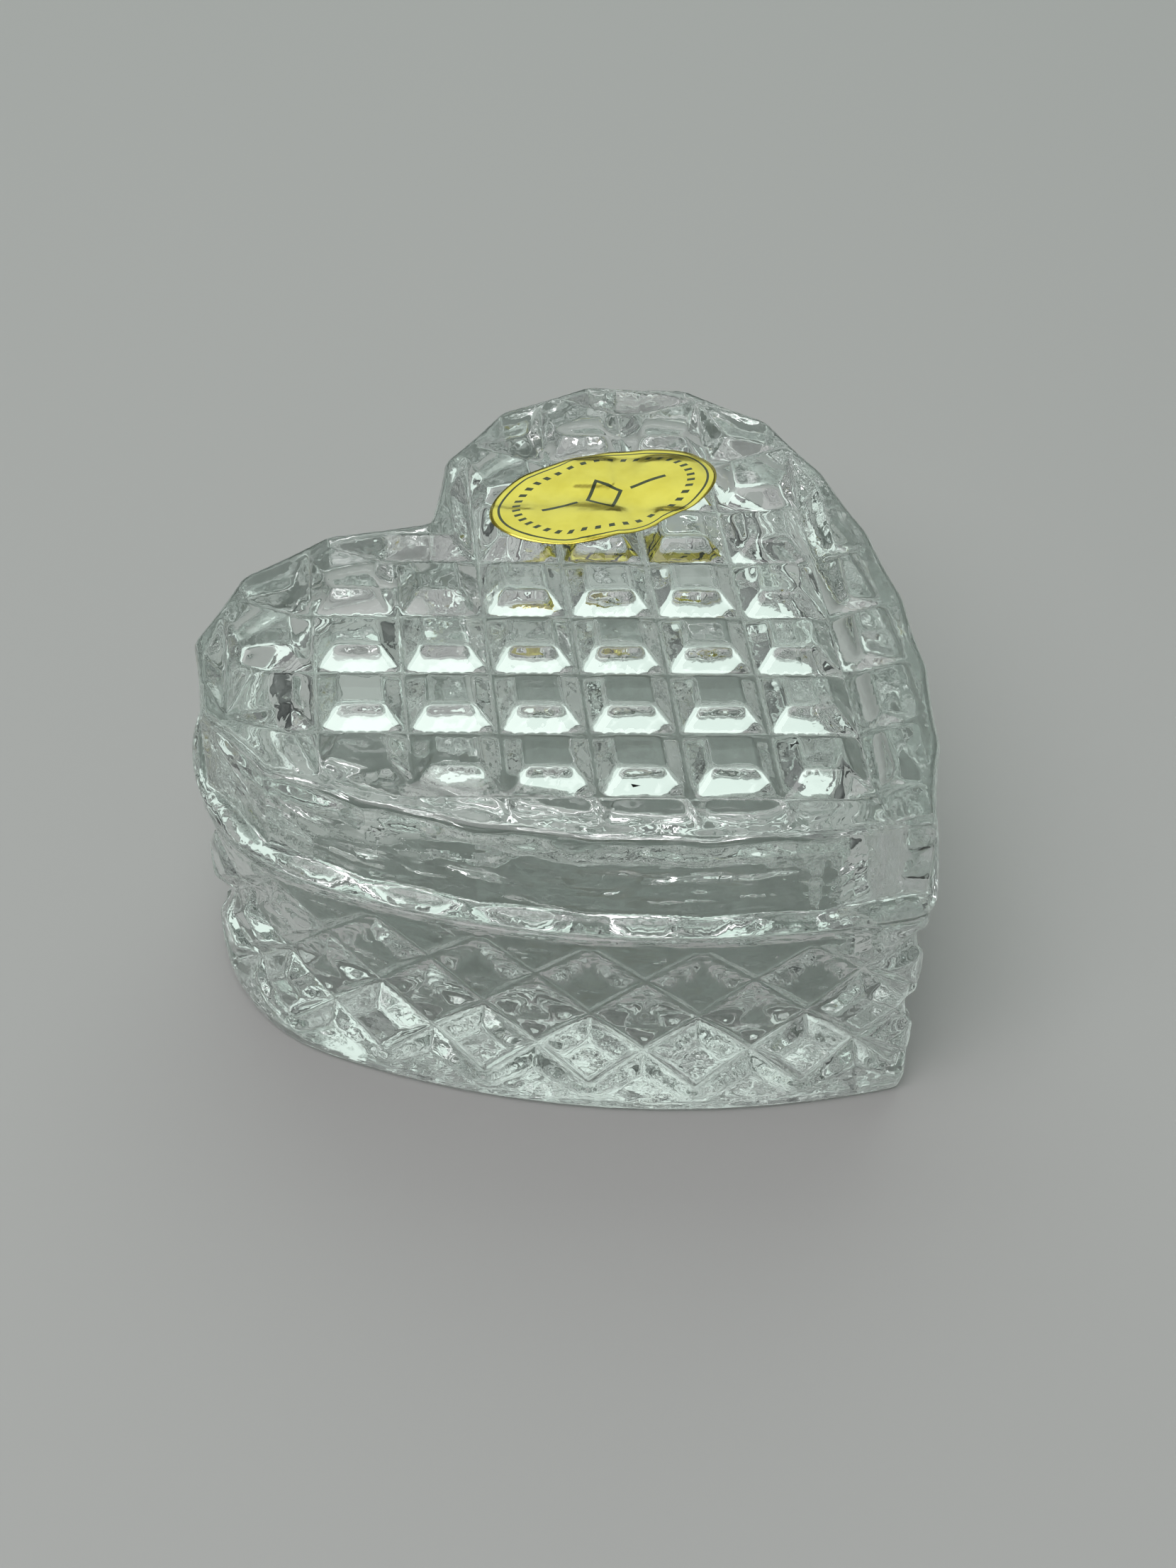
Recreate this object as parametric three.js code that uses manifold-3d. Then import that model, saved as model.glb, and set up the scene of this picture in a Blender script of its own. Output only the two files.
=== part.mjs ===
// Heart-shaped cut-crystal trinket box: a deep dish, a loose lift-off lid and an oval foil label.
// Millimetres, +Z up. The box stands on z = 0, the heart's tip points to -Y and its cleft to +Y.
// The origin is under the middle of the heart's bounding box.
import * as THREE from 'three';
import { ConvexGeometry } from 'three/addons/geometries/ConvexGeometry.js';
import { mergeVertices } from 'three/addons/utils/BufferGeometryUtils.js';
import Module from 'manifold-3d';

// ---- Driving dimensions -------------------------------------------------------------------

// Plan of the heart: two lobe arcs, each running on into a flatter side arc, joined at the tip.
const LOBE_RADIUS = 23.8;
const LOBE_OFFSET = 19.6; // lobe centre, sideways from the heart's axis
const SIDE_RADIUS = 103.5;
const SIDE_JOIN_ANGLE = THREE.MathUtils.degToRad(-19.1); // normal where a side arc meets its lobe
const CLEFT_RADIUS = 1.6; // fillet in the bottom of the cleft
const TIP_RADIUS = 1.6; // the tip's small outer round
const WALL_FACETS = 11; // flat panels on each half of the lid, and cut diamonds below them
const ARC_STEPS = 4; // straight steps for one facet's length of smooth wall
const LARGEST_TURN = THREE.MathUtils.degToRad(20); // and the most that one step may turn on a small round

// Heights.
const BASE_HEIGHT = 30;
const LID_HEIGHT = 15; // seat to top face
const SEAT_GAP = 0.1; // between the ground seat faces
const FLOOR_THICKNESS = 9;

// Glass walls, as insets from the heart's plan.
const BASE_WALL = 5.4;
const BASE_FLARE = 0.4; // the dish's rim stands out past the plan
const FOOT_INSET = 0.1; // and its foot draws in
const FOOT_BEVEL = 0.5;
const FOOT_BEVEL_HEIGHT = 2;
const EDGE_ROUND = 0.7; // worn-off edges of rims
const CAVITY_TIP_RADIUS = 7;
const CAVITY_CORNER = 4; // rounding between wall and floor or roof of a hollow
const CAVITY_DRAFT = 0.5;
const CORNER_STEPS = 3;

// The lid's lip, its locating ring and its hollow.
const LIP_OVERHANG = 0.9;
const LIP_HEIGHT = 3.4;
const LIP_ROUND = [ // the lip's rounded edge, as shares of its overhang and height
  [0.6, 0.2],
  [1, 0.4],
  [1, 0.65],
  [0.6, 0.85],
];
const RING_DROP = 2.5;
const RING_CLEARANCE = 0.6;
const RING_THICKNESS = 2.2;
const LID_ROOF = 5.6; // top face to the hollow's roof
const TOP_BEVEL = 0.7;
const PANEL_HOLLOW = 0.2; // each flat panel of the wall is ground very slightly hollow
const PANEL_STEPS = 4;

// Square-on V grooves of the lid's top.
const GRID_PITCH = 10;
const GRID_CENTRE = -15.6; // middle of the grid, along the axis from the lobe centres
const GRID_ANGLE = THREE.MathUtils.degToRad(41.9); // each family of grooves against the heart's axis
const GRID_DEPTH = 2.5;
const GRID_MARGIN = 2.2; // grooves run out to a point this far inside the wall
const GRID_RUNOUT = 7; // length over which a groove's end rises
const GRID_SHORTEST = 12;
const GRID_SLOPE = THREE.MathUtils.degToRad(45);
const SCAN_STEP = 0.25; // fineness with which a groove's ends are found

// Criss-cross V grooves round the dish.
const RIM_BAND = 2.4; // plain glass above the highest crossings
const FOOT_BAND = 3.6; // and below the lowest ones
const DIAMOND_ROWS = 4; // rows between them
const DIAMOND_DEPTH = 1.9;
const DIAMOND_END_DEPTH = 1.1; // depth where grooves start, end or turn the tip
const DIAMOND_SLOPE = THREE.MathUtils.degToRad(43); // flank against the wall's surface

const CUT_OVERSHOOT = 0.8; // how far a cutter stands out of the surface that it cuts

// Foil label, laid across the flat tops of the lid.
const LABEL_LENGTH = 29.4;
const LABEL_WIDTH = 16.2;
const LABEL_THICKNESS = 0.15;
const LABEL_ASIDE = -1.5; // from the right lobe's centre
const LABEL_ABOVE = 2.7;
const LABEL_TURN = THREE.MathUtils.degToRad(-23.9);
const LABEL_STEPS = 24;

// ---- Plan of the heart --------------------------------------------------------------------

const lobeCentre = new THREE.Vector2(LOBE_OFFSET, 0);
const sideCentre = lobeCentre.clone().sub(
  direction(SIDE_JOIN_ANGLE).multiplyScalar(SIDE_RADIUS - LOBE_RADIUS),
);
const cleftCentre = new THREE.Vector2(0, Math.sqrt((LOBE_RADIUS + CLEFT_RADIUS) ** 2 - LOBE_OFFSET ** 2));
const tipCentre = tipArcCentre(0, TIP_RADIUS);
const planShift = -(LOBE_RADIUS + tipCentre.y - TIP_RADIUS) / 2;

/** Unit vector at an angle from +X. */
function direction(angle) {
  return new THREE.Vector2(Math.cos(angle), Math.sin(angle));
}

/** Centre of the arc that rounds the tip between two side arcs set in by inset. */
function tipArcCentre(inset, radius) {
  const reach = SIDE_RADIUS - inset - radius;
  return new THREE.Vector2(0, sideCentre.y - Math.sqrt(reach ** 2 - sideCentre.x ** 2));
}

/** The right half of the plan, set in by inset, as arcs from the tip up to the cleft. */
function halfArcs(inset, tipRadius) {
  const tip = tipArcCentre(inset, tipRadius);
  const tipAngle = tip.clone().sub(sideCentre).angle() - 2 * Math.PI;
  const cleftAngle = cleftCentre.clone().sub(lobeCentre).angle();
  return [
    { centre: tip, radius: tipRadius, from: -Math.PI / 2, to: tipAngle, side: 1 },
    { centre: sideCentre, radius: SIDE_RADIUS - inset, from: tipAngle, to: SIDE_JOIN_ANGLE, side: 1 },
    { centre: lobeCentre, radius: LOBE_RADIUS - inset, from: SIDE_JOIN_ANGLE, to: cleftAngle, side: 1 },
    {
      centre: cleftCentre,
      radius: CLEFT_RADIUS + inset,
      from: cleftAngle - Math.PI,
      to: -Math.PI / 2,
      side: -1,
    },
  ];
}

const planArcs = halfArcs(0, TIP_RADIUS);
const halfLength = planArcs.reduce((sum, arc) => sum + arcLength(arc), 0);
const facetLength = halfLength / WALL_FACETS;

function arcLength(arc) {
  return arc.radius * Math.abs(arc.to - arc.from);
}

/** Point and outward normal on the plan at a distance along it from the tip; negative is the left half. */
function planPoint(distance) {
  let rest = Math.min(Math.abs(distance), halfLength);
  let arc = planArcs[0];
  for (arc of planArcs) {
    if (rest <= arcLength(arc)) break;
    rest -= arcLength(arc);
  }
  const share = Math.min(rest / arcLength(arc), 1);
  const outward = direction(THREE.MathUtils.lerp(arc.from, arc.to, share));
  const point = arc.centre.clone().addScaledVector(outward, arc.radius);
  const normal = outward.multiplyScalar(arc.side);
  if (distance < 0) {
    point.x *= -1;
    normal.x *= -1;
  }
  point.y += planShift;
  return { point, normal };
}

/** The whole plan, set in by inset, as smooth arcs; the tip keeps a parallel round unless given its own. */
function smoothOutline(inset, tipRadius = TIP_RADIUS - inset) {
  const right = [];
  planArcs.forEach((planArc, index) => {
    const arc = halfArcs(inset, tipRadius)[index];
    const turn = Math.abs(planArc.to - planArc.from);
    const alongWall = Math.round((ARC_STEPS * arcLength(planArc)) / facetLength);
    const steps = Math.max(alongWall, Math.ceil(turn / LARGEST_TURN));
    for (let step = index === 0 ? 0 : 1; step <= steps; step += 1) {
      const angle = THREE.MathUtils.lerp(arc.from, arc.to, step / steps);
      right.push(arc.centre.clone().addScaledVector(direction(angle), arc.radius));
    }
  });
  return mirrored(right);
}

/** A corner between two of the lid's panels, set in by inset, before the plan is shifted. */
function panelCorner(corner, inset) {
  const { point, normal } = planPoint(corner * facetLength);
  return point.addScaledVector(normal, -inset).sub(new THREE.Vector2(0, planShift));
}

/** The whole plan as slightly hollow panels, with each corner set in by inset. */
function facetedOutline(inset) {
  const right = [panelCorner(0, inset)];
  for (let panel = 0; panel < WALL_FACETS; panel += 1) {
    const from = panelCorner(panel, inset);
    const to = panelCorner(panel + 1, inset);
    const chord = to.clone().sub(from).normalize();
    const inward = new THREE.Vector2(-chord.y, chord.x);
    for (let step = 1; step < PANEL_STEPS; step += 1) {
      const share = step / PANEL_STEPS;
      const sink = 4 * PANEL_HOLLOW * share * (1 - share);
      right.push(from.clone().lerp(to, share).addScaledVector(inward, sink));
    }
    right.push(to);
  }
  return mirrored(right);
}

/** Closes a right half, whose first and last points lie on the heart's axis, with its mirror image. */
function mirrored(right) {
  const left = right.slice(1, -1).reverse().map((point) => new THREE.Vector2(-point.x, point.y));
  return [...right, ...left].map((point) => new THREE.Vector2(point.x, point.y + planShift));
}

/** How far a point lies inside the heart's smooth plan; negative outside. */
function depthInside(x, y) {
  const point = new THREE.Vector2(Math.abs(x), y - planShift);
  const onSide = point.clone().sub(sideCentre);
  const toSide = SIDE_RADIUS - onSide.length();
  const toLobe = LOBE_RADIUS - point.distanceTo(lobeCentre);
  return Math.atan2(onSide.y, onSide.x) < SIDE_JOIN_ANGLE ? toSide : toLobe;
}

// ---- Solids -------------------------------------------------------------------------------

const wasm = await Module();
wasm.setup();

/** A manifold solid from a closed three.js geometry. */
function solidOf(geometry) {
  const bare = geometry.index ? geometry.toNonIndexed() : geometry.clone();
  bare.deleteAttribute('normal');
  bare.deleteAttribute('uv');
  const merged = mergeVertices(bare, 1e-5);
  return new wasm.Manifold(
    new wasm.Mesh({
      numProp: 3,
      vertProperties: new Float32Array(merged.attributes.position.array),
      triVerts: new Uint32Array(merged.index.array),
    }),
  );
}

/** Closed solid through rings of points, which turn anticlockwise as seen from the last ring's side. */
function ruled(rings, [firstCap, lastCap]) {
  const count = rings[0].length;
  const faces = [];
  for (let level = 0; level + 1 < rings.length; level += 1) {
    for (let i = 0; i < count; i += 1) {
      const a = level * count + i;
      const b = level * count + ((i + 1) % count);
      faces.push(a, b, b + count, a, b + count, a + count);
    }
  }
  const last = (rings.length - 1) * count;
  for (const [a, b, c] of firstCap) faces.push(a, c, b);
  for (const [a, b, c] of lastCap) faces.push(last + a, last + b, last + c);
  const geometry = new THREE.BufferGeometry().setFromPoints(rings.flat());
  geometry.setIndex(faces);
  return solidOf(geometry);
}

/** A solid whose sections, listed from the bottom up as { z, outline }, have equal numbers of points. */
function loft(sections) {
  const rings = sections.map(({ z, outline }) => outline.map(({ x, y }) => new THREE.Vector3(x, y, z)));
  const ends = [sections[0], sections.at(-1)];
  return ruled(
    rings,
    ends.map(({ outline }) => THREE.ShapeUtils.triangulateShape(outline, [])),
  );
}

/** A loft of smooth outlines from a profile of [inset, z] pairs. */
function smoothLoft(profile, tipRadius) {
  return loft(profile.map(([inset, z]) => ({ z, outline: smoothOutline(inset, tipRadius) })));
}

/** Section of a V groove's cutter: its point below the surface and its mouth above it. */
function grooveSection({ point, normal, along }, depth, slope) {
  const across = along.clone().cross(normal).normalize();
  const mouthHalf = (depth + CUT_OVERSHOOT) / Math.tan(slope);
  const mouth = point.clone().addScaledVector(normal, CUT_OVERSHOOT);
  return [
    point.clone().addScaledVector(normal, -depth),
    mouth.clone().addScaledVector(across, -mouthHalf),
    mouth.clone().addScaledVector(across, mouthHalf),
  ];
}

/** Profile of a hollow's rounded corner, from the wall at inset to a flat at height z. */
function cornerProfile(inset, z, rise) {
  const profile = [];
  for (let step = 0; step <= CORNER_STEPS; step += 1) {
    const turn = (step / CORNER_STEPS) * (Math.PI / 2);
    const inward = CAVITY_CORNER * (1 - Math.cos(turn));
    const fromFlat = CAVITY_CORNER * (1 - Math.sin(turn));
    profile.push([inset + inward, z - rise * fromFlat]);
  }
  return profile;
}

// ---- Dish ---------------------------------------------------------------------------------

const diamondStep = (BASE_HEIGHT - RIM_BAND - FOOT_BAND) / DIAMOND_ROWS;

/** A place on the dish's wall, with the wall's normal and the direction of a groove through it. */
function wallPlace(distance, row, lean) {
  const z = BASE_HEIGHT - RIM_BAND - row * diamondStep;
  const { point, normal } = planPoint(distance);
  const flare = THREE.MathUtils.lerp(-FOOT_INSET, BASE_FLARE, z / BASE_HEIGHT);
  const tangent = new THREE.Vector2(-normal.y, normal.x);
  const slide = (lean * facetLength) / 2;
  return {
    point: new THREE.Vector3(point.x + flare * normal.x, point.y + flare * normal.y, z),
    normal: new THREE.Vector3(normal.x, normal.y, 0),
    along: new THREE.Vector3(tangent.x * slide, tangent.y * slide, -diamondStep).normalize(),
  };
}

/** Depth of a groove at a crossing: shallower at the ends of its run and round the tip. */
function crossingDepth(row, column) {
  const atEnd = row === 0 || row === DIAMOND_ROWS || column === 0;
  return atEnd ? DIAMOND_END_DEPTH : DIAMOND_DEPTH;
}

/** Cutters for all the criss-cross grooves; they stop short of the cleft, where no wheel reaches. */
function diamondCutters() {
  const cutters = [];
  const lastColumn = WALL_FACETS * 2 - 1; // columns are half a facet apart
  for (let row = 0; row < DIAMOND_ROWS; row += 1) {
    for (let column = -lastColumn; column <= lastColumn; column += 1) {
      if (Math.abs(column + row) % 2 === 1) continue;
      for (const lean of [-1, 1]) {
        if (Math.abs(column + lean) > lastColumn) continue;
        const ends = [0, 1].map((end) => {
          const place = wallPlace(((column + end * lean) * facetLength) / 2, row + end, lean);
          const depth = crossingDepth(row + end, column + end * lean);
          return grooveSection(place, depth, DIAMOND_SLOPE);
        });
        cutters.push(solidOf(new ConvexGeometry(ends.flat())));
      }
    }
  }
  return cutters;
}

function dish() {
  const blank = smoothLoft([
    [FOOT_INSET + FOOT_BEVEL, 0],
    [FOOT_INSET, FOOT_BEVEL_HEIGHT],
    [-BASE_FLARE, BASE_HEIGHT - EDGE_ROUND],
    [-BASE_FLARE + EDGE_ROUND, BASE_HEIGHT],
  ]);
  const bottom = cornerProfile(BASE_WALL + CAVITY_DRAFT, FLOOR_THICKNESS, -1).reverse();
  const hollow = smoothLoft([
    ...bottom,
    [BASE_WALL, BASE_HEIGHT - EDGE_ROUND],
    [BASE_WALL - EDGE_ROUND, BASE_HEIGHT],
    [BASE_WALL - EDGE_ROUND, BASE_HEIGHT + CUT_OVERSHOOT],
  ], CAVITY_TIP_RADIUS);
  return blank.subtract(hollow).subtract(wasm.Manifold.union(diamondCutters()));
}

// ---- Lid ----------------------------------------------------------------------------------

const seatHeight = BASE_HEIGHT + SEAT_GAP;
const topHeight = BASE_HEIGHT + LID_HEIGHT;

/** Stretches of a straight line across the lid, as [start, end], that lie well inside its wall. */
function runsInside(foot, along) {
  const runs = [];
  const reach = 2 * SIDE_RADIUS;
  let start = null;
  for (let t = -reach; t <= reach; t += SCAN_STEP) {
    const inside = depthInside(foot.x + along.x * t, foot.y + along.y * t) > GRID_MARGIN;
    if (inside && start === null) start = t;
    if (!inside && start !== null) {
      runs.push([start, t - SCAN_STEP]);
      start = null;
    }
  }
  return runs.filter(([from, to]) => to - from > GRID_SHORTEST);
}

/** Cutter for one groove of the top, rising to the surface at both of its ends. */
function gridCutter(foot, along, [from, to]) {
  const runout = Math.min(GRID_RUNOUT, (to - from) / 2);
  const stations = [
    [from, 0],
    [from + runout, GRID_DEPTH],
    [to - runout, GRID_DEPTH],
    [to, 0],
  ];
  const sections = stations.map(([t, depth]) => {
    const place = {
      point: new THREE.Vector3(foot.x + along.x * t, foot.y + along.y * t, topHeight),
      normal: new THREE.Vector3(0, 0, 1),
      along: new THREE.Vector3(along.x, along.y, 0),
    };
    return grooveSection(place, depth, GRID_SLOPE);
  });
  const cap = [[0, 1, 2]];
  return ruled(sections, [cap, cap]);
}

function gridCutters() {
  const cutters = [];
  const centre = new THREE.Vector2(0, planShift + GRID_CENTRE);
  const reach = Math.ceil((2 * LOBE_RADIUS + LOBE_OFFSET) / GRID_PITCH);
  for (const side of [-1, 1]) {
    const along = new THREE.Vector2(Math.sin(GRID_ANGLE) * side, Math.cos(GRID_ANGLE));
    const step = new THREE.Vector2(Math.sin(GRID_ANGLE) * side, -Math.cos(GRID_ANGLE));
    for (let line = -reach; line < reach; line += 1) {
      const foot = centre.clone().addScaledVector(step, (line + 0.5) * GRID_PITCH);
      for (const run of runsInside(foot, along)) cutters.push(gridCutter(foot, along, run));
    }
  }
  return cutters;
}

function lid() {
  const wall = loft([
    { z: seatHeight + LIP_HEIGHT / 2, outline: facetedOutline(0) },
    { z: topHeight - TOP_BEVEL, outline: facetedOutline(0) },
    { z: topHeight, outline: facetedOutline(TOP_BEVEL) },
  ]);
  const lip = smoothLoft([
    [EDGE_ROUND, seatHeight],
    ...LIP_ROUND.map(([out, up]) => [-LIP_OVERHANG * out, seatHeight + LIP_HEIGHT * up]),
    [EDGE_ROUND, seatHeight + LIP_HEIGHT],
  ]);
  const ringInset = BASE_WALL + RING_CLEARANCE;
  const ring = smoothLoft([
    [ringInset + EDGE_ROUND, seatHeight - RING_DROP],
    [ringInset, seatHeight - RING_DROP + EDGE_ROUND],
    [ringInset, seatHeight + LIP_HEIGHT / 2],
  ], CAVITY_TIP_RADIUS);
  const hollowInset = ringInset + RING_THICKNESS;
  const hollow = smoothLoft([
    [hollowInset, seatHeight - RING_DROP - CUT_OVERSHOOT],
    ...cornerProfile(hollowInset + CAVITY_DRAFT, topHeight - LID_ROOF, 1),
  ], CAVITY_TIP_RADIUS);
  return wall.add(lip).add(ring).subtract(hollow).subtract(wasm.Manifold.union(gridCutters()));
}

// ---- Foil label ---------------------------------------------------------------------------

function labelGeometry() {
  const oval = new THREE.Shape();
  oval.absellipse(0, 0, LABEL_LENGTH / 2, LABEL_WIDTH / 2, 0, 2 * Math.PI, false, 0);
  return new THREE.ExtrudeGeometry(oval, {
    depth: LABEL_THICKNESS,
    bevelEnabled: false,
    curveSegments: LABEL_STEPS,
  });
}

// ---- Assembly -----------------------------------------------------------------------------

/** A three.js geometry with flat faces from a manifold solid. */
function geometryOf(solid) {
  const mesh = solid.getMesh();
  const geometry = new THREE.BufferGeometry();
  geometry.setAttribute('position', new THREE.Float32BufferAttribute(mesh.vertProperties, mesh.numProp));
  geometry.setIndex([...mesh.triVerts]);
  return geometry;
}

function named(name, geometry, material) {
  const mesh = new THREE.Mesh(geometry, material);
  mesh.name = name;
  return mesh;
}

const crystal = new THREE.MeshStandardMaterial({
  color: new THREE.Color(0.84, 0.92, 0.87),
  roughness: 0.03,
  metalness: 0,
  transparent: true,
  opacity: 0.5,
  flatShading: true,
});
const goldFoil = new THREE.MeshStandardMaterial({
  color: new THREE.Color(0.86, 0.79, 0.2),
  roughness: 0.3,
  metalness: 1,
});

const group = new THREE.Group();
group.add(named('dish', geometryOf(dish()), crystal));
group.add(named('lid', geometryOf(lid()), crystal));
const label = named('foil_label', labelGeometry(), goldFoil);
label.position.set(LOBE_OFFSET + LABEL_ASIDE, planShift + LABEL_ABOVE, topHeight);
label.rotation.z = LABEL_TURN;
group.add(label);

export default group;
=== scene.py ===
"""A heart-shaped cut-crystal trinket box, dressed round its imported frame.

The frame holds a dish, a loose lid and an oval foil label. Each glass piece here is a copy of its
frame solid, with its cut edges softened as acid polishing leaves them and slow waves in its moulded
walls. The label is a sheet of foil that dips into the grooves it bridges.
"""

from __future__ import annotations

import logging
import math
from dataclasses import dataclass, field
from enum import Enum
from typing import Any, Sequence

import bmesh
import bpy
from mathutils import Matrix, Vector, noise
from mathutils.bvhtree import BVHTree
from mathutils.kdtree import KDTree

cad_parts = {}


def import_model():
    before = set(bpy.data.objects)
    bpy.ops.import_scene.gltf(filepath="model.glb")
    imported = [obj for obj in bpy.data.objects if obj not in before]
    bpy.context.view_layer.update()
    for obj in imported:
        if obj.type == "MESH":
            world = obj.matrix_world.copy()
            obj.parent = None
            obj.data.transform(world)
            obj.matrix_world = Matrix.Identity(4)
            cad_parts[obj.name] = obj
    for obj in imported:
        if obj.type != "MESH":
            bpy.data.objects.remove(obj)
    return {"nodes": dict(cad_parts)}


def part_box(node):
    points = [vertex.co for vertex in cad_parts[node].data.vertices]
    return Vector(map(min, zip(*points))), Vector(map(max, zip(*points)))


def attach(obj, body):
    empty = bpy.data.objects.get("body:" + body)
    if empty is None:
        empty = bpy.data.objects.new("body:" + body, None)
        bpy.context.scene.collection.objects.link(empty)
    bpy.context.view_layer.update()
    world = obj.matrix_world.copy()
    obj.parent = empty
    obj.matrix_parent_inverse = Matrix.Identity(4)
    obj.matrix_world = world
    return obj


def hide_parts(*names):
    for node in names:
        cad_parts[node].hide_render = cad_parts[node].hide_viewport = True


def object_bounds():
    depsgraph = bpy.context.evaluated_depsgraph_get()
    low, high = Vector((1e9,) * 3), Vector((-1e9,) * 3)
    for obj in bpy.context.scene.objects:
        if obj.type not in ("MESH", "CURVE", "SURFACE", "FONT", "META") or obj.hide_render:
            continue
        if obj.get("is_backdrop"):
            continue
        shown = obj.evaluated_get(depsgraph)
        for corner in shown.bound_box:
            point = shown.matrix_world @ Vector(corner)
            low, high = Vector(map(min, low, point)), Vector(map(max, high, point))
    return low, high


log = logging.getLogger("trinket_box")

MM = 0.001
BELOW_RIM = 0.5 * MM  # the dish's moulded wall ends this far below its ground rim
UNDER_ROOF = 9 * MM  # the lid's moulded wall ends this far above the dish's rim
Colour = tuple[float, float, float]


class Body(Enum):
    """The two parts of the box that move against each other."""

    DISH = "dish"
    LID = "lid"


class Slot(Enum):
    """The record's material slots."""

    CRYSTAL = "crystal"
    GOLD_FOIL = "gold_foil"


# ---- Shader graph ---------------------------------------------------------------------------


class Wire:
    """One output of a shader node, with arithmetic that adds Math nodes."""

    def __init__(self, graph: Graph, socket: bpy.types.NodeSocket) -> None:
        """Keeps the socket and the graph that it belongs to."""
        self.graph = graph
        self.socket = socket

    def _math(self, operation: str, first: Any, second: Any = 0.0) -> Wire:
        """The result of a new Math node, for two values that are each a Wire or a number."""
        return self.graph.add("ShaderNodeMath", {"operation": operation}, {0: first, 1: second})[0]

    def __add__(self, other: Any) -> Wire:
        """Sum."""
        return self._math("ADD", self, other)

    def __radd__(self, other: Any) -> Wire:
        """Sum, reflected."""
        return self._math("ADD", other, self)

    def __sub__(self, other: Any) -> Wire:
        """Difference."""
        return self._math("SUBTRACT", self, other)

    def __rsub__(self, other: Any) -> Wire:
        """Difference, reflected."""
        return self._math("SUBTRACT", other, self)

    def __mul__(self, other: Any) -> Wire:
        """Product."""
        return self._math("MULTIPLY", self, other)

    def __rmul__(self, other: Any) -> Wire:
        """Product, reflected."""
        return self._math("MULTIPLY", other, self)

    def above(self, limit: float) -> Wire:
        """One where this value is above the limit, and nought elsewhere."""
        return self._math("GREATER_THAN", self, limit)

    def below(self, limit: float) -> Wire:
        """One where this value is below the limit, and nought elsewhere."""
        return self._math("LESS_THAN", self, limit)

    def root(self) -> Wire:
        """Square root."""
        return self._math("SQRT", self)

    def size(self) -> Wire:
        """The value without its sign."""
        return self._math("ABSOLUTE", self)

    def angle_over(self, other: Wire) -> Wire:
        """The angle whose tangent is this value over the other."""
        return self._math("ARCTAN2", self, other)

    def wave(self) -> Wire:
        """Cosine of the value in radians."""
        return self._math("COSINE", self)

    def either(self, other: Wire) -> Wire:
        """The larger of two values."""
        return self._math("MAXIMUM", self, other)


class Graph:
    """The node tree of a material or the world, emptied and rebuilt."""

    def __init__(self, tree: bpy.types.NodeTree, output: str = "ShaderNodeOutputMaterial") -> None:
        """Empties the tree.

        Args:
            tree: The material's or the world's nodes.
            output: The type of its output node.
        """
        self.tree = tree
        self.output = output
        self.tree.nodes.clear()

    def add(
        self, kind: str, settings: dict[str, Any] | None = None, inputs: dict[Any, Any] | None = None
    ) -> list[Wire]:
        """Adds any node.

        Args:
            kind: The node's type.
            settings: Its own properties, set before its sockets; stops are a ramp's stops.
            inputs: Socket name or number to a value or a Wire.

        Returns:
            Its outputs in order.
        """
        node = self.tree.nodes.new(kind)
        for name, value in (settings or {}).items():
            if name == "stops":
                self._set_stops(node, value)
            else:
                setattr(node, name, value)
        for name, value in (inputs or {}).items():
            if isinstance(value, Wire):
                self.tree.links.new(value.socket, node.inputs[name])
            else:
                node.inputs[name].default_value = value
        return [Wire(self, socket) for socket in node.outputs]

    @staticmethod
    def _set_stops(node: bpy.types.Node, stops: Sequence[tuple[float, Any]]) -> None:
        """Gives a Color Ramp its stops.

        Args:
            node: The Color Ramp.
            stops: Pairs of a position and a grey or a colour.
        """
        elements = node.color_ramp.elements
        while len(elements) < len(stops):
            elements.new(1.0)
        for element, (position, colour) in zip(elements, stops):
            element.position = position
            grey = isinstance(colour, float)
            element.color = (colour, colour, colour, 1.0) if grey else (*colour, 1.0)

    def place(self) -> Wire:
        """Object coordinates, in metres."""
        return self.add("ShaderNodeTexCoord")[3]

    def noise(self, place: Wire, scale: float, detail: float = 2.0, roughness: float = 0.5) -> Wire:
        """Noise from nought to one at a scale in cycles for each metre."""
        inputs = {"Vector": place, "Scale": scale, "Detail": detail, "Roughness": roughness}
        return self.add("ShaderNodeTexNoise", None, inputs)[0]

    def ramp(self, value: Wire, stops: Sequence[tuple[float, Any]]) -> Wire:
        """Colours for a value from nought to one."""
        return self.add("ShaderNodeValToRGB", {"stops": stops}, {0: value})[0]

    def blend(self, share: Wire, first: Any, second: Any) -> Wire:
        """A colour that goes from the first to the second as the share goes from nought to one."""
        settings = {"data_type": "RGBA"}
        return self.add("ShaderNodeMix", settings, {0: share, 6: first, 7: second})[2]

    def bump(self, height: Wire, depth: float) -> Wire:
        """A surface normal disturbed by a height, whose full range is depth metres."""
        return self.add("ShaderNodeBump", None, {"Height": height, "Distance": depth, "Strength": 1.0})[0]

    def finish(self, shader: Wire) -> None:
        """Joins the shader to the output."""
        self.add(self.output, None, {"Surface": shader})


def new_material(name: str) -> tuple[bpy.types.Material, Graph]:
    """Makes a material with nothing in it.

    Args:
        name: The material's name.

    Returns:
        The material and the graph of its nodes.
    """
    material = bpy.data.materials.new(name)
    material.use_nodes = True
    return material, Graph(material.node_tree)


# ---- Finishes -------------------------------------------------------------------------------


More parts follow.
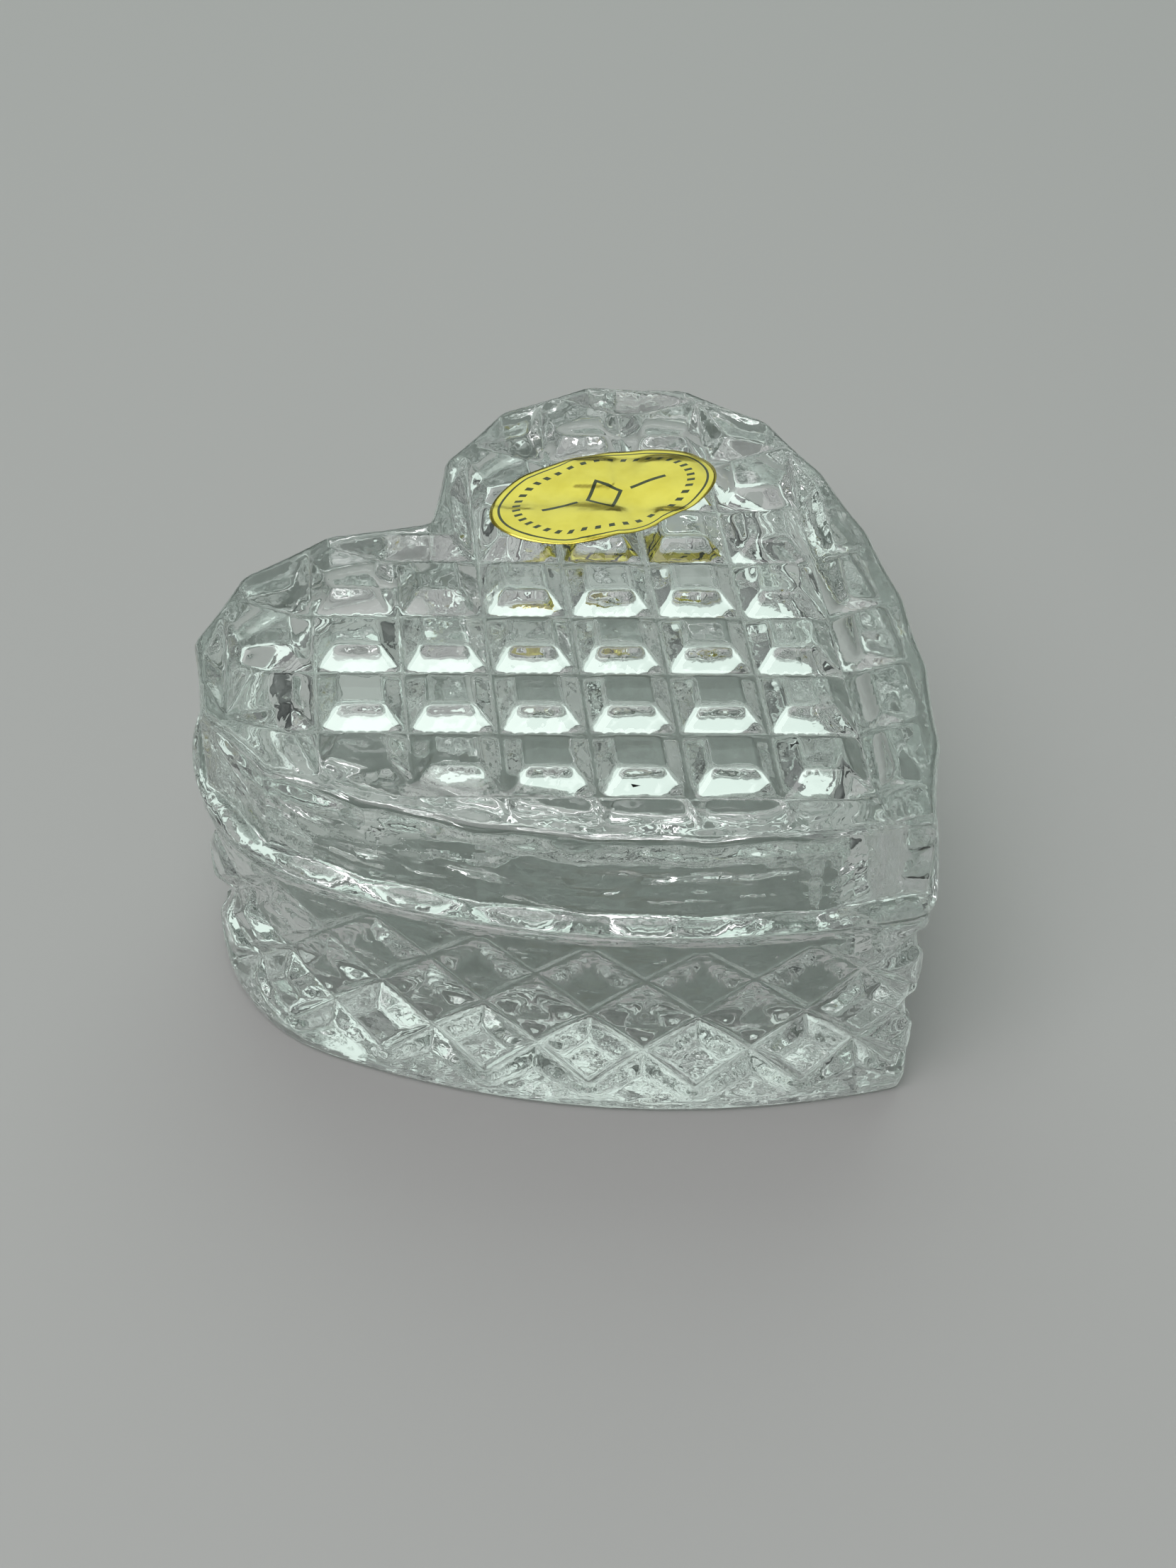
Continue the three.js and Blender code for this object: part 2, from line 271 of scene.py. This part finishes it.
@dataclass(frozen=True)
class CrystalFinish:
    """Lead crystal: clear, faintly green, with a slow ripple and a fine grain in every face."""

    name: str
    tint: Colour = (0.945, 0.985, 0.965)
    shadow_tint: Colour = (0.20, 0.22, 0.21)
    ior: float = 1.545
    ripple_scale: float = 200.0
    ripple_stretch: float = 1.0  # how much closer the ripples lie up and down than along
    ripple_depth: float = 0.12 * MM
    grain_scale: float = 900.0
    grain_depth: float = 0.008 * MM
    smooth_roughness: float = 0.0
    worn_roughness: float = 0.04
    wear_range: tuple[float, float] = (0.5, 0.72)  # where wear sets in, and where it is full

    def material(self) -> bpy.types.Material:
        """Builds the material.

        Returns:
            The finished material.
        """
        material, graph = new_material(self.name)
        place = graph.place()
        stretched = graph.add(
            "ShaderNodeMapping",
            {"vector_type": "POINT"},
            {"Vector": place, "Scale": (1.0, 1.0, self.ripple_stretch)},
        )[0]
        ripple = graph.noise(stretched, self.ripple_scale, 2.0, 0.45)
        grain = graph.noise(place, self.grain_scale, 2.0, 0.5)
        depth = self.ripple_depth + self.grain_depth
        height = ripple * (self.ripple_depth / depth) + grain * (self.grain_depth / depth)
        rest, full = self.wear_range
        stops = [(rest, self.smooth_roughness), (full, self.worn_roughness)]
        wear = graph.ramp(grain * 0.5 + ripple * 0.5, stops)
        glass = graph.add(
            "ShaderNodeBsdfPrincipled",
            None,
            {
                "Base Color": (*self.tint, 1.0),
                "Roughness": wear,
                "IOR": self.ior,
                "Transmission Weight": 1.0,
                "Normal": graph.bump(height, depth),
            },
        )[0]
        lamp_rays = graph.add("ShaderNodeLightPath")[1]
        clear = graph.add("ShaderNodeBsdfTransparent", None, {"Color": (*self.shadow_tint, 1.0)})[0]
        graph.finish(graph.add("ShaderNodeMixShader", None, {0: lamp_rays, 1: glass, 2: clear})[0])
        return material


CUT_CRYSTAL = CrystalFinish("cut_crystal")
MOULDED_CRYSTAL = CrystalFinish(
    "moulded_crystal",
    ripple_scale=170.0,
    ripple_stretch=2.4,
    ripple_depth=0.6 * MM,
    grain_scale=750.0,
    grain_depth=0.05 * MM,
)


@dataclass(frozen=True)
class FoilFinish:
    """Bright yellow-gold foil with a printed border, a ring of dashes, and a lozenge between rules."""

    name: str
    gold: Colour = (0.88, 0.74, 0.13)
    deep_gold: Colour = (0.80, 0.66, 0.095)
    ink: Colour = (0.05, 0.065, 0.02)
    border: float = 0.92  # places on the oval, as shares of its half length and half width
    border_half: float = 0.011
    dash_ring: float = 0.77
    dash_half: float = 0.035
    dashes: int = 40
    dash_edge: float = 0.25  # the cosine above which a dash is inked
    lozenge: tuple[float, float] = (0.15, 0.30)
    lozenge_half: float = 0.13
    rule_reach: tuple[float, float] = (0.24, 0.56)
    rule_half: float = 0.028
    print_fade: float = 0.6  # how much less like metal the ink is
    cloud_scale: float = 240.0
    crumple_scale: float = 700.0
    metal: float = 0.95
    roughness: tuple[float, float] = (0.16, 0.28)  # where the foil is smooth, and where it is crumpled
    lacquer: float = 0.3
    wrinkle_depth: float = 0.02 * MM

    def _print(self, graph: Graph, spot: Wire) -> Wire:
        """Makes the print.

        Args:
            graph: The material's graph.
            spot: Coordinates in which the oval is a circle of radius one.

        Returns:
            One where there is ink, and nought elsewhere.
        """
        along, across, _ = graph.add("ShaderNodeSeparateXYZ", None, {0: spot})
        far = (along * along + across * across).root()
        border = (far - self.border).size().below(self.border_half)
        dash = (far - self.dash_ring).size().below(self.dash_half)
        dash = dash * (across.angle_over(along) * float(self.dashes)).wave().above(self.dash_edge)
        near, wide = self.lozenge
        corner = along.size() * (1.0 / near) + across.size() * (1.0 / wide)
        outline = (corner - 1.0).size().below(self.lozenge_half)
        start, end = self.rule_reach
        rule = across.size().below(self.rule_half) * along.size().above(start) * along.size().below(end)
        return border.either(dash).either(outline).either(rule)

    def material(
        self, centre: Vector, turn: float, half_length: float, half_width: float
    ) -> bpy.types.Material:
        """Builds the material.

        Args:
            centre: The oval's centre.
            turn: The angle of its length from +X, in radians.
            half_length: Half its length.
            half_width: Half its width.

        Returns:
            The finished material.
        """
        material, graph = new_material(self.name)
        place = graph.place()
        spot = graph.add(
            "ShaderNodeMapping",
            {"vector_type": "TEXTURE"},
            {
                "Vector": place,
                "Location": tuple(centre),
                "Rotation": (0.0, 0.0, turn),
                "Scale": (half_length, half_width, 1.0),
            },
        )[0]
        ink = self._print(graph, spot)
        cloud = graph.noise(place, self.cloud_scale, 3.0, 0.55)
        crumple = graph.noise(place, self.crumple_scale, 3.0, 0.5)
        smooth, rough = self.roughness
        foil = graph.ramp(cloud, [(0.35, self.deep_gold), (0.55, self.gold)])
        shader = graph.add(
            "ShaderNodeBsdfPrincipled",
            None,
            {
                "Base Color": graph.blend(ink, foil, (*self.ink, 1.0)),
                "Metallic": self.metal - ink * self.print_fade,
                "Roughness": graph.ramp(crumple, [(0.3, smooth), (0.8, rough)]),
                "Coat Weight": self.lacquer,
                "Coat Roughness": 0.05,
                "Normal": graph.bump(crumple, self.wrinkle_depth),
            },
        )[0]
        graph.finish(shader)
        return material


@dataclass(frozen=True)
class StageFinish:
    """Matt pale paper under the box."""

    name: str = "pale_paper"
    colour: Colour = (0.62, 0.62, 0.61)

    def material(self) -> bpy.types.Material:
        """Builds the material.

        Returns:
            The finished material.
        """
        material, graph = new_material(self.name)
        shader = graph.add(
            "ShaderNodeBsdfPrincipled",
            None,
            {"Base Color": (*self.colour, 1.0), "Roughness": 0.75, "Specular IOR Level": 0.2},
        )[0]
        graph.finish(shader)
        return material


# ---- Glass pieces ---------------------------------------------------------------------------


def new_object(name: str, bm: bmesh.types.BMesh) -> bpy.types.Object:
    """Puts a finished mesh into the scene.

    Args:
        name: The name of the object and of its mesh.
        bm: The finished mesh, which is freed.

    Returns:
        The object, which sits at the origin.
    """
    mesh = bpy.data.meshes.new(name)
    bm.to_mesh(mesh)
    bm.free()
    made = bpy.data.objects.new(name, mesh)
    bpy.context.scene.collection.objects.link(made)
    return made


def smooth_faces(bm: bmesh.types.BMesh) -> None:
    """Shades every face smoothly."""
    for face in bm.faces:
        face.smooth = True


def point_tree(points: Sequence[Vector]) -> KDTree:
    """Sorts points for a search.

    Args:
        points: The points.

    Returns:
        A tree that finds the nearest of them to a spot.
    """
    tree = KDTree(len(points))
    for number, point in enumerate(points):
        tree.insert(point, number)
    tree.balance()
    return tree


@dataclass
class CutGlass:
    """A glass piece of the frame, with polished cuts outside and moulded walls inside."""

    node: str
    body: Body
    moulded_top: float  # the highest that a moulded face lies
    wave_height: float  # the moulded walls' waviness, from the deepest hollow to the highest crest
    wave_scale: tuple[float, float, float] = (160.0, 160.0, 430.0)
    wave_fade: float = 2.2 * MM  # the waves die out over this distance from the moulded area's ends
    wave_strand: float = 0.85 * MM
    weld: float = 0.2 * MM
    flat_angle: float = math.radians(0.7)
    cut_angle: float = math.radians(9.0)
    strand: float = 0.62 * MM  # length of the triangles' sides beside the cuts
    slack: float = 1.4  # a side is split when it is this many times too long
    reach: float = 0.8 * MM
    splits: int = 7
    polish_passes: int = 2
    polish_strength: float = 0.5

    def build(self, source: bpy.types.Object) -> bpy.types.Object:
        """Makes the softened copy.

        Args:
            source: The frame's own object for this piece.

        Returns:
            The new object, riding on its body, with the frame's own object for this node hidden.
        """
        bm = bmesh.new()
        bm.from_mesh(source.data)
        self._weld(bm)
        self._mark_moulded(bm)
        cuts = self._cut_points(bm)
        self._split(bm, cuts)
        self._polish(bm, cuts)
        self._wave(bm)
        smooth_faces(bm)
        piece = new_object(f"polished_{self.node}", bm)
        for finish in (CUT_CRYSTAL, MOULDED_CRYSTAL):
            piece.data.materials.append(bpy.data.materials.get(finish.name) or finish.material())
        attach(piece, self.body.value)
        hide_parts(self.node)
        return piece

    def _weld(self, bm: bmesh.types.BMesh) -> None:
        """Joins the frame's loose triangles into whole flat faces.

        Args:
            bm: The piece's mesh.
        """
        bmesh.ops.remove_doubles(bm, verts=bm.verts, dist=self.weld)
        bmesh.ops.dissolve_degenerate(bm, edges=bm.edges, dist=self.weld / 2)
        bmesh.ops.dissolve_limit(bm, angle_limit=self.flat_angle, verts=bm.verts, edges=bm.edges)

    def _mark_moulded(self, bm: bmesh.types.BMesh) -> None:
        """Gives the inner faces the second material: those with glass still further out.

        Args:
            bm: The piece's mesh, welded.
        """
        tree = BVHTree.FromBMesh(bm)
        for face in bm.faces:
            spot = face.calc_center_median() + face.normal * self.weld
            outward = Vector((spot.x, spot.y, 0.0)).normalized()
            wall = spot.z < self.moulded_top and tree.ray_cast(spot, outward)[0] is not None
            face.material_index = 1 if wall else 0

    def _cut_points(self, bm: bmesh.types.BMesh) -> KDTree:
        """Finds the cuts' edges.

        Args:
            bm: The welded piece.

        Returns:
            A tree of points spaced along every edge that turns by more than the cut angle.
        """
        points: list[Vector] = []
        for edge in bm.edges:
            if edge.calc_face_angle(0.0) > self.cut_angle:
                start, end = (vert.co.copy() for vert in edge.verts)
                steps = max(1, math.ceil((end - start).length / self.strand))
                points += [start.lerp(end, step / steps) for step in range(steps + 1)]
        return point_tree(points)

    def _split(self, bm: bmesh.types.BMesh, cuts: KDTree) -> None:
        """Splits the faces beside the cuts and over the moulded walls into small triangles.

        Args:
            bm: The piece's mesh, welded.
            cuts: Points along the cuts.
        """
        bmesh.ops.triangulate(bm, faces=bm.faces, quad_method="BEAUTY", ngon_method="BEAUTY")
        for _ in range(self.splits):
            long_edges = []
            for edge in bm.edges:
                length = edge.calc_length()
                middle = (edge.verts[0].co + edge.verts[1].co) / 2
                beside_cut = cuts.find(middle)[2] < self.reach + length / 2
                moulded = any(face.material_index for face in edge.link_faces)
                if beside_cut and length > self.strand * self.slack:
                    long_edges.append(edge)
                elif moulded and length > self.wave_strand * self.slack:
                    long_edges.append(edge)
            bmesh.ops.subdivide_edges(bm, edges=long_edges, cuts=1)
            loose = [face for face in bm.faces if len(face.verts) > 3]
            bmesh.ops.triangulate(bm, faces=loose, quad_method="SHORT_EDGE", ngon_method="BEAUTY")

    def _polish(self, bm: bmesh.types.BMesh, cuts: KDTree) -> None:
        """Rounds the cuts, inside and out, as polishing does.

        Args:
            bm: The piece's mesh, split.
            cuts: Points along the cuts.
        """
        near = [vert for vert in bm.verts if cuts.find(vert.co)[2] < self.reach]
        for _ in range(self.polish_passes):
            bmesh.ops.smooth_vert(
                bm,
                verts=near,
                factor=self.polish_strength,
                use_axis_x=True,
                use_axis_y=True,
                use_axis_z=True,
            )

    def _wave(self, bm: bmesh.types.BMesh) -> None:
        """Gives the moulded walls the slow waves that a plunger leaves, dying out at their ends.

        Args:
            bm: The piece's mesh, split.
        """
        bm.normal_update()
        moulded = {vert: sum(face.material_index for face in vert.link_faces) for vert in bm.verts}
        ends = point_tree([vert.co for vert in bm.verts if 0 < moulded[vert] < len(vert.link_faces)])
        for vert, count in moulded.items():
            if count == len(vert.link_faces):
                fade = min(1.0, ends.find(vert.co)[2] / self.wave_fade)
                spot = Vector(value * scale for value, scale in zip(vert.co, self.wave_scale))
                swell = noise.noise(spot) * self.wave_height / 2
                vert.co += vert.normal * (swell * fade * fade * (3 - 2 * fade))


# ---- Label ----------------------------------------------------------------------------------


@dataclass
class FoilLabel:
    """The oval foil label, stuck to the flat tops and pressed a little into the grooves between them."""

    rings: int = 26
    segments: int = 112
    thickness: float = 0.05 * MM
    gap: float = 0.05 * MM
    sag_share: float = 0.5  # the foil's dip as a share of the mean depth round a spot
    deepest_share: float = 0.8  # and its most, as a share of the depth at the spot
    feel: float = 1.3 * MM  # how far round a spot the foil feels the grooves
    feelers: int = 10
    looseness: tuple[float, float, float] = (0.1, 0.55, 0.9)  # the least, the mean and the swing
    unevenness: float = 130.0
    finish: FoilFinish = field(default_factory=lambda: FoilFinish("gold_foil_label"))

    def build(self, source: bpy.types.Object, glass: bpy.types.Object) -> bpy.types.Object:
        """Makes the label.

        Args:
            source: The frame's own object for the label, which gives its outline.
            glass: The lid that it is stuck to.

        Returns:
            The new object, riding on the lid, with the frame's own label object hidden.
        """
        outline = [vert.co for vert in source.data.vertices]
        centre = sum(outline, Vector()) / len(outline)
        arms = [(co - centre).to_2d() for co in outline]
        longest = max(arms, key=lambda arm: arm.length)
        half_length, half_width = longest.length, min(arm.length for arm in arms)
        turn = math.atan2(longest.y, longest.x)
        low = min(co.z for co in outline)
        bm = bmesh.new()
        bmesh.ops.create_circle(bm, cap_ends=True, segments=self.segments, radius=1.0)
        for _ in range(self.rings - 1):
            middle = max(bm.faces, key=lambda face: len(face.verts))
            bmesh.ops.inset_region(
                bm, faces=[middle], thickness=1.0 / self.rings, use_boundary=True, use_even_offset=True
            )
        bmesh.ops.poke(bm, faces=[face for face in bm.faces if len(face.verts) == self.segments])
        bmesh.ops.scale(bm, vec=(half_length, half_width, 1.0), verts=bm.verts)
        bmesh.ops.rotate(bm, cent=(0, 0, 0), matrix=Matrix.Rotation(turn, 3, "Z"), verts=bm.verts)
        bmesh.ops.translate(bm, vec=(centre.x, centre.y, low + self.gap), verts=bm.verts)
        self._press(bm, glass)
        bmesh.ops.recalc_face_normals(bm, faces=bm.faces)
        bmesh.ops.solidify(bm, geom=bm.faces, thickness=-self.thickness)
        bmesh.ops.recalc_face_normals(bm, faces=bm.faces)
        smooth_faces(bm)
        label = new_object("pressed_foil_label", bm)
        label.data.materials.append(self.finish.material(centre, turn, half_length, half_width))
        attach(label, Body.LID.value)
        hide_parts("foil_label")
        return label

    def _press(self, bm: bmesh.types.BMesh, glass: bpy.types.Object) -> None:
        """Lowers the foil where it bridges a groove, more in some places than in others.

        Args:
            bm: The foil's mesh, flat and in its place.
            glass: The lid that it is stuck to.
        """
        corners = [vert.co for vert in glass.data.vertices]
        tree = BVHTree.FromPolygons(corners, [tuple(face.vertices) for face in glass.data.polygons])

        def depth(spot: Vector) -> float:
            """How far the glass lies below the foil at a spot."""
            hit = tree.ray_cast(spot + Vector((0, 0, self.thickness)), Vector((0, 0, -1)))[0]
            return max(0.0, spot.z - self.gap - hit.z) if hit else 0.0

        least, mean, swing = self.looseness
        for vert in bm.verts:
            total = 0.0
            for step in range(self.feelers):
                way = 2 * math.pi * step / self.feelers
                total += depth(vert.co + Vector((math.cos(way), math.sin(way), 0.0)) * self.feel)
            loose = mean + swing * noise.noise(vert.co * self.unevenness)
            sag = self.sag_share * max(least, loose) * total / self.feelers
            vert.co.z -= min(sag, depth(vert.co) * self.deepest_share)


# ---- Stage ----------------------------------------------------------------------------------


@dataclass(frozen=True)
class Softbox:
    """A square soft light that hangs facing the box."""

    name: str
    azimuth: float  # the compass angle of its place, in degrees, as for the camera
    elevation: float
    away: float
    size: float
    power: float
    colour: Colour

    def hang(self) -> None:
        """Makes the light."""
        data = bpy.data.lights.new(self.name, "AREA")
        data.size = self.size
        data.energy = self.power
        data.color = self.colour
        turn, rise = math.radians(self.azimuth), math.radians(self.elevation)
        way = Vector((math.sin(turn) * math.cos(rise), -math.cos(turn) * math.cos(rise), math.sin(rise)))
        lamp = bpy.data.objects.new(self.name, data)
        lamp.location = way * self.away
        lamp.rotation_euler = (-way).to_track_quat("-Z", "Y").to_euler()
        lamp.visible_camera = False
        bpy.context.scene.collection.objects.link(lamp)


KEY_LIGHT = Softbox("key_light", -80.0, 62.0, 1.0, 0.7, 3.6, (1.0, 0.955, 0.975))
BACK_LIGHT = Softbox("back_light", 132.0, 48.0, 1.1, 1.2, 3.3, (0.86, 1.0, 0.925))


@dataclass
class Studio:
    """The floor, lights and camera."""

    azimuth: float = math.radians(-48.5)
    elevation: float = math.radians(43.96)
    roll: float = math.radians(-0.6)
    distance: float = 0.3114
    side_shift: float = -0.0055
    lens: float = 59.75
    floor_reach: float = 1.1
    floor_sides: int = 64
    floor_gap: float = 0.3 * MM  # the floor stops just short of the glass, as air does under a real foot
    zenith: Colour = (0.30, 0.32, 0.31)
    horizon: Colour = (0.03, 0.033, 0.033)
    backdrop: Colour = (0.32, 0.33, 0.325)
    glass_bounces: int = 24

    def camera(self, low: Vector, high: Vector) -> None:
        """Makes the camera, aimed at the middle of the object's box.

        Args:
            low: The box's lowest corner.
            high: The box's highest corner.
        """
        forward = Vector(
            (
                -math.sin(self.azimuth) * math.cos(self.elevation),
                math.cos(self.azimuth) * math.cos(self.elevation),
                -math.sin(self.elevation),
            )
        )
        right = forward.cross(Vector((0, 0, 1))).normalized()
        right.rotate(Matrix.Rotation(self.roll, 3, forward))
        above = right.cross(forward)
        aim = (low + high) / 2 + right * self.side_shift
        data = bpy.data.cameras.new("camera")
        data.lens = self.lens
        data.sensor_width = 36.0
        data.clip_start = 0.01
        eye = bpy.data.objects.new("camera", data)
        turn = Matrix((right, above, -forward)).transposed()
        eye.matrix_world = Matrix.Translation(aim - forward * self.distance) @ turn.to_4x4()
        bpy.context.scene.collection.objects.link(eye)
        bpy.context.scene.camera = eye

    def floor(self) -> None:
        """Makes the floor, just under the box."""
        bm = bmesh.new()
        bmesh.ops.create_circle(bm, cap_ends=True, segments=self.floor_sides, radius=self.floor_reach)
        bmesh.ops.translate(bm, vec=(0.0, 0.0, -self.floor_gap), verts=bm.verts)
        floor = new_object("floor", bm)
        floor.data.materials.append(StageFinish().material())
        floor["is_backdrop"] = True

    def world(self) -> None:
        """Gives the room soft light that fades from overhead to the horizon, behind a pale backdrop."""
        world = bpy.data.worlds.new("room")
        world.use_nodes = True
        bpy.context.scene.world = world
        graph = Graph(world.node_tree, "ShaderNodeOutputWorld")
        way = graph.add("ShaderNodeTexCoord")[0]
        height = graph.add("ShaderNodeSeparateXYZ", None, {0: way})[2]
        room = graph.ramp(height, [(0.0, self.horizon), (1.0, self.zenith)])
        in_view = graph.add("ShaderNodeLightPath")[0]
        colour = graph.blend(in_view, room, (*self.backdrop, 1.0))
        graph.finish(graph.add("ShaderNodeBackground", None, {0: colour})[0])

    def light_paths(self) -> None:
        """Lets light cross the many faces of the glass and turn inside it."""
        cycles = bpy.context.scene.cycles
        cycles.max_bounces = self.glass_bounces
        cycles.glossy_bounces = self.glass_bounces
        cycles.transmission_bounces = self.glass_bounces
        cycles.transparent_max_bounces = self.glass_bounces

    def build(self, low: Vector, high: Vector) -> None:
        """Builds the whole stage.

        Args:
            low: The lowest corner of the object's box.
            high: The highest corner of the object's box.
        """
        self.camera(low, high)
        self.floor()
        self.world()
        self.light_paths()
        for light in (KEY_LIGHT, BACK_LIGHT):
            light.hang()
        bpy.context.scene.view_settings.view_transform = "Standard"


# ---- Assembly -------------------------------------------------------------------------------


def report(piece: bpy.types.Object) -> None:
    """Logs a piece's name and how many faces it has."""
    log.info("%s: %d faces", piece.name, len(piece.data.polygons))


def main() -> None:
    """Builds the box and its stage in order."""
    logging.basicConfig(level=logging.INFO, format="%(message)s")
    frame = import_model()
    nodes = frame["nodes"]
    low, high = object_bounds()
    Studio().build(Vector(low), Vector(high))
    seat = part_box("dish")[1][2]
    dish = CutGlass("dish", Body.DISH, seat - BELOW_RIM, wave_height=0.5 * MM).build(nodes["dish"])
    report(dish)
    lid = CutGlass("lid", Body.LID, seat + UNDER_ROOF, wave_height=1.8 * MM).build(nodes["lid"])
    report(lid)
    label = FoilLabel().build(nodes["foil_label"], lid)
    report(label)
    low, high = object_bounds()


if __name__ == "__main__":
    main()
